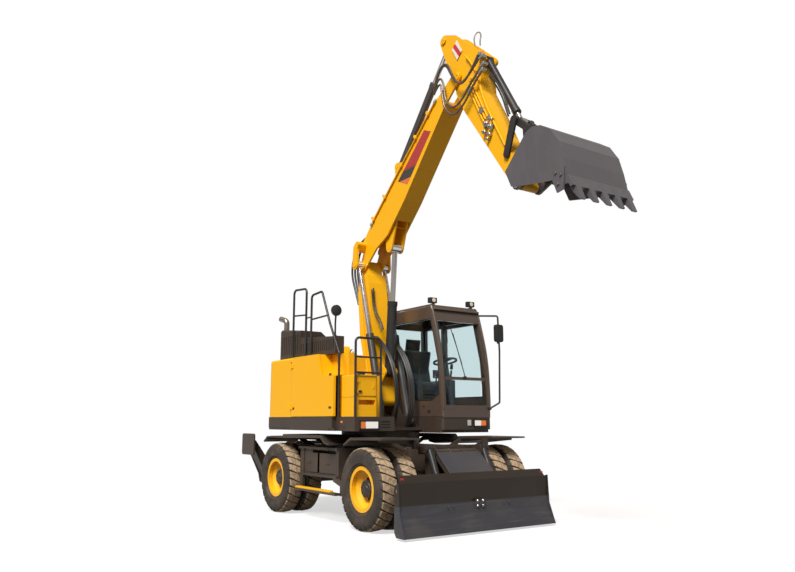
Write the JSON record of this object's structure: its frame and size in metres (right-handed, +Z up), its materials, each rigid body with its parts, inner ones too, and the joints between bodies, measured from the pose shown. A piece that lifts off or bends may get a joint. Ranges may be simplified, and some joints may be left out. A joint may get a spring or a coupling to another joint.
{
  "type": "wheeled excavator",
  "caption": "Wheeled excavator with twin tyres, dozer blade, two stabilisers, slewing cab, two-piece boom, stick and toothed bucket.",
  "frame": {"origin": "on the ground, straight under the slewing axis", "axes": "+X forward towards the blade, +Y to the machine's left, +Z up"},
  "size_m": [7.085, 2.6958, 6.9697],
  "materials": {
    "yellow_paint": "satin",
    "dark_paint": "satin",
    "cab_paint": "satin",
    "rim_paint": "satin",
    "tyre_rubber": "matte",
    "chrome_rod": "polished",
    "exhaust_steel": "matte",
    "engine_iron": "matte",
    "lamp_black": "satin",
    "seat_black": "matte",
    "bucket_steel": "worn"
  },
  "bodies": {
    "chassis": {"chassis": "dark_paint", "front_axle": "dark_paint", "rear_axle": "dark_paint"},
    "platform": {"platform": "dark_paint", "counterweight": "yellow_paint", "body_shell": "dark_paint", "intake_box": "dark_paint", "exhaust": "exhaust_steel", "engine": "engine_iron", "tank": "yellow_paint", "handrails": "dark_paint", "step_guard": "dark_paint", "mirrors": "dark_paint", "cab": "cab_paint", "cab_interior": "seat_black", "work_lamps": "lamp_black"},
    "knuckle_left": {"knuckle_left": "dark_paint"},
    "knuckle_right": {"knuckle_right": "dark_paint"},
    "wheel_front_left": {"tyres_front_left": "tyre_rubber", "rims_front_left": "rim_paint"},
    "wheel_front_right": {"tyres_front_right": "tyre_rubber", "rims_front_right": "rim_paint"},
    "wheel_rear_left": {"tyres_rear_left": "tyre_rubber", "rims_rear_left": "rim_paint"},
    "wheel_rear_right": {"tyres_rear_right": "tyre_rubber", "rims_rear_right": "rim_paint"},
    "cab_door": {"cab_door": "cab_paint"},
    "side_door": {"side_door": "yellow_paint"},
    "toolbox_door": {"toolbox_door": "yellow_paint"},
    "hood": {"hood": "dark_paint"},
    "lower_boom": {"lower_boom": "yellow_paint"},
    "upper_boom": {"upper_boom": "yellow_paint"},
    "stick": {"stick": "yellow_paint"},
    "bucket": {"bucket": "bucket_steel"},
    "rocker": {"rocker": "dark_paint"},
    "bucket_link": {"bucket_link": "dark_paint"},
    "blade_arm": {"blade_arm": "dark_paint"},
    "blade": {"blade": "dark_paint"},
    "blade_links": {"blade_links": "dark_paint"},
    "lift_cylinder_barrel": {"lift_cylinder_barrels": "dark_paint"},
    "lift_cylinder_rod": {"lift_cylinder_rods": "chrome_rod"},
    "adjust_cylinder_barrel": {"adjust_cylinder_barrel": "dark_paint"},
    "adjust_cylinder_rod": {"adjust_cylinder_rod": "chrome_rod"},
    "stick_cylinder_barrel": {"stick_cylinder_barrel": "dark_paint"},
    "stick_cylinder_rod": {"stick_cylinder_rod": "chrome_rod"},
    "bucket_cylinder_barrel": {"bucket_cylinder_barrel": "dark_paint"},
    "bucket_cylinder_rod": {"bucket_cylinder_rod": "chrome_rod"},
    "blade_cylinder_barrels": {"blade_cylinder_barrels": "dark_paint"},
    "blade_cylinder_rods": {"blade_cylinder_rods": "chrome_rod"},
    "stabiliser_left": {"stabiliser_left": "dark_paint"},
    "stabiliser_barrel_left": {"stabiliser_barrel_left": "dark_paint"},
    "stabiliser_rod_left": {"stabiliser_rod_left": "chrome_rod"},
    "stabiliser_right": {"stabiliser_right": "dark_paint"},
    "stabiliser_barrel_right": {"stabiliser_barrel_right": "dark_paint"},
    "stabiliser_rod_right": {"stabiliser_rod_right": "chrome_rod"}
  },
  "joints": [
    {"name": "slew", "type": "hinge", "parent": "chassis", "child": "platform", "pos_m": [0, 0, 1.125], "axis": [0, 0, 1], "continuous": true},
    {"name": "boom_lift", "type": "hinge", "parent": "platform", "child": "lower_boom", "pos_m": [0.1, 0, 1.7], "axis": [0, -1, 0], "range_deg": [-85, 3]},
    {"name": "boom_knee", "type": "hinge", "parent": "lower_boom", "child": "upper_boom", "pos_m": [-0.28, 0, 3.87], "axis": [0, 1, 0], "range_deg": [-15, 50]},
    {"name": "stick_swing", "type": "hinge", "parent": "upper_boom", "child": "stick", "pos_m": [2.14, 0, 6.18], "axis": [0, -1, 0], "range_deg": [-40, 40]},
    {"name": "bucket_curl", "type": "hinge", "parent": "stick", "child": "bucket", "pos_m": [3.33, 0, 4.28], "axis": [0, 1, 0], "range_deg": [0, 150]},
    {"name": "blade_lift", "type": "hinge", "parent": "chassis", "child": "blade_arm", "pos_m": [1.8, 0, 0.985], "axis": [0, -1, 0], "range_deg": [-8, 45]},
    {"name": "stabiliser_left_swing", "type": "hinge", "parent": "chassis", "child": "stabiliser_left", "pos_m": [-2.23, 0.83, 0.42], "axis": [-1, 0, 0], "range_deg": [0, 93]},
    {"name": "stabiliser_right_swing", "type": "hinge", "parent": "chassis", "child": "stabiliser_right", "pos_m": [-2.23, -0.83, 0.42], "axis": [1, 0, 0], "range_deg": [0, 93]},
    {"name": "steering_left", "type": "hinge", "parent": "chassis", "child": "knuckle_left", "pos_m": [1.4, 0.64, 0.525], "axis": [0, 0, 1], "range_deg": [-30, 30]},
    {"name": "steering_right", "type": "hinge", "parent": "chassis", "child": "knuckle_right", "pos_m": [1.4, -0.64, 0.525], "axis": [0, 0, 1], "range_deg": [-31, 31]},
    {"name": "wheel_front_left_spin", "type": "hinge", "parent": "knuckle_left", "child": "wheel_front_left", "pos_m": [1.4, 0.95, 0.525], "axis": [0, 1, 0], "continuous": true},
    {"name": "wheel_front_right_spin", "type": "hinge", "parent": "knuckle_right", "child": "wheel_front_right", "pos_m": [1.4, -0.95, 0.525], "axis": [0, 1, 0], "continuous": true},
    {"name": "wheel_rear_left_spin", "type": "hinge", "parent": "chassis", "child": "wheel_rear_left", "pos_m": [-1.12, 0.95, 0.525], "axis": [0, 1, 0], "continuous": true},
    {"name": "wheel_rear_right_spin", "type": "hinge", "parent": "chassis", "child": "wheel_rear_right", "pos_m": [-1.12, -0.95, 0.525], "axis": [0, 1, 0], "continuous": true},
    {"name": "cab_door_swing", "type": "hinge", "parent": "platform", "child": "cab_door", "pos_m": [0.052, 1.2573, 2.2], "axis": [0, 0, 1], "range_deg": [0, 150]},
    {"name": "side_door_swing", "type": "hinge", "parent": "platform", "child": "side_door", "pos_m": [-0.602, -1.2573, 1.9], "axis": [0, 0, -1], "range_deg": [0, 110]},
    {"name": "toolbox_door_swing", "type": "hinge", "parent": "platform", "child": "toolbox_door", "pos_m": [1.132, -1.121, 1.85], "axis": [0, 0, -1], "range_deg": [0, 90]},
    {"name": "hood_lift", "type": "hinge", "parent": "platform", "child": "hood", "pos_m": [-0.634, 0, 2.752], "axis": [0, 1, 0], "range_deg": [0, 55]},
    {"name": "lift_cylinder_swing", "type": "hinge", "parent": "platform", "child": "lift_cylinder_barrel", "pos_m": [0.42, 0, 1.37], "axis": [0, -1, 0], "range_deg": [-77.85, 3.71]},
    {"name": "lift_cylinder_stroke", "type": "slide", "parent": "lift_cylinder_barrel", "child": "lift_cylinder_rod", "axis": [-0.2696, 0, 0.963], "range_m": [-0.5495, 0.029]},
    {"name": "adjust_cylinder_swing", "type": "hinge", "parent": "lower_boom", "child": "adjust_cylinder_barrel", "pos_m": [0.235, 0, 2.125], "axis": [0, -1, 0], "range_deg": [-1.62, 1.19]},
    {"name": "adjust_cylinder_stroke", "type": "slide", "parent": "adjust_cylinder_barrel", "child": "adjust_cylinder_rod", "axis": [0.0798, 0, 0.9968], "range_m": [-0.6017, 0.1875]},
    {"name": "stick_cylinder_swing", "type": "hinge", "parent": "upper_boom", "child": "stick_cylinder_barrel", "pos_m": [0.56, 0, 5.33], "axis": [0, -1, 0], "range_deg": [-7.2, 7.2]},
    {"name": "stick_cylinder_stroke", "type": "slide", "parent": "stick_cylinder_barrel", "child": "stick_cylinder_rod", "axis": [0.6338, 0, 0.7735], "range_m": [-0.4727, 0.4727]},
    {"name": "rocker_swing", "type": "hinge", "parent": "stick", "child": "rocker", "pos_m": [3.12, 0, 4.745], "axis": [0, -1, 0], "range_deg": [-122.5, 1]},
    {"name": "bucket_link_swing", "type": "hinge", "parent": "rocker", "child": "bucket_link", "pos_m": [3.265, 0, 5.16], "axis": [0, -1, 0], "range_deg": [-1, 106]},
    {"name": "bucket_cylinder_swing", "type": "hinge", "parent": "stick", "child": "bucket_cylinder_barrel", "pos_m": [2.655, 0, 6.265], "axis": [0, -1, 0], "range_deg": [-4.1, 1]},
    {"name": "bucket_cylinder_stroke", "type": "slide", "parent": "bucket_cylinder_barrel", "child": "bucket_cylinder_rod", "axis": [0.4833, 0, -0.8755], "range_m": [-0.01, 0.7894]},
    {"name": "blade_level", "type": "hinge", "parent": "blade_arm", "child": "blade", "pos_m": [2.18, 0, 0.65], "axis": [0, -1, 0], "range_deg": [-46, 9]},
    {"name": "blade_links_swing", "type": "hinge", "parent": "chassis", "child": "blade_links", "pos_m": [1.8, 0, 0.555], "axis": [0, -1, 0], "range_deg": [-9, 46]},
    {"name": "blade_cylinders_swing", "type": "hinge", "parent": "chassis", "child": "blade_cylinder_barrels", "pos_m": [1.85, 0, 1.035], "axis": [0, -1, 0], "range_deg": [-5.96, 28.88]},
    {"name": "blade_cylinders_stroke", "type": "slide", "parent": "blade_cylinder_barrels", "child": "blade_cylinder_rods", "axis": [0.4186, 0, -0.9081], "range_m": [-0.2111, 0.0457]},
    {"name": "stabiliser_left_cylinder_swing", "type": "hinge", "parent": "chassis", "child": "stabiliser_barrel_left", "pos_m": [-2.23, 0.3, 0.93], "axis": [1, 0, 0], "range_deg": [-16.68, 1]},
    {"name": "stabiliser_left_cylinder_stroke", "type": "slide", "parent": "stabiliser_barrel_left", "child": "stabiliser_rod_left", "axis": [0, 0.942, -0.3355], "range_m": [-0.01, 0.4082]},
    {"name": "stabiliser_right_cylinder_swing", "type": "hinge", "parent": "chassis", "child": "stabiliser_barrel_right", "pos_m": [-2.23, -0.3, 0.93], "axis": [-1, 0, 0], "range_deg": [-16.68, 1]},
    {"name": "stabiliser_right_cylinder_stroke", "type": "slide", "parent": "stabiliser_barrel_right", "child": "stabiliser_rod_right", "axis": [0, -0.942, -0.3355], "range_m": [-0.01, 0.4082]}
  ],
  "couplings": [
    {"joint": "steering_right", "follows": "steering_left", "ratio": 1},
    {"joint": "lift_cylinder_swing", "follows": "boom_lift", "ratio": 0.90416},
    {"joint": "lift_cylinder_stroke", "follows": "boom_lift", "m_per_rad": 0.36366},
    {"joint": "adjust_cylinder_swing", "follows": "boom_knee", "ratio": -0.012438},
    {"joint": "adjust_cylinder_stroke", "follows": "boom_knee", "m_per_rad": -0.67807},
    {"joint": "stick_cylinder_swing", "follows": "stick_swing", "ratio": 0.155},
    {"joint": "stick_cylinder_stroke", "follows": "stick_swing", "m_per_rad": -0.66278},
    {"joint": "rocker_swing", "follows": "bucket_curl", "ratio": -0.81},
    {"joint": "bucket_link_swing", "follows": "bucket_curl", "ratio": 0.7},
    {"joint": "bucket_cylinder_swing", "follows": "bucket_curl", "ratio": -0.020679},
    {"joint": "bucket_cylinder_stroke", "follows": "bucket_curl", "m_per_rad": 0.29771},
    {"joint": "blade_level", "follows": "blade_lift", "ratio": -1},
    {"joint": "blade_links_swing", "follows": "blade_lift", "ratio": 1},
    {"joint": "blade_cylinders_swing", "follows": "blade_lift", "ratio": 0.6196},
    {"joint": "blade_cylinders_stroke", "follows": "blade_lift", "m_per_rad": -0.25599},
    {"joint": "stabiliser_left_cylinder_swing", "follows": "stabiliser_left_swing", "ratio": -0.16859},
    {"joint": "stabiliser_left_cylinder_stroke", "follows": "stabiliser_left_swing", "m_per_rad": 0.2453},
    {"joint": "stabiliser_right_cylinder_swing", "follows": "stabiliser_right_swing", "ratio": -0.16859},
    {"joint": "stabiliser_right_cylinder_stroke", "follows": "stabiliser_right_swing", "m_per_rad": 0.2453}
  ]
}
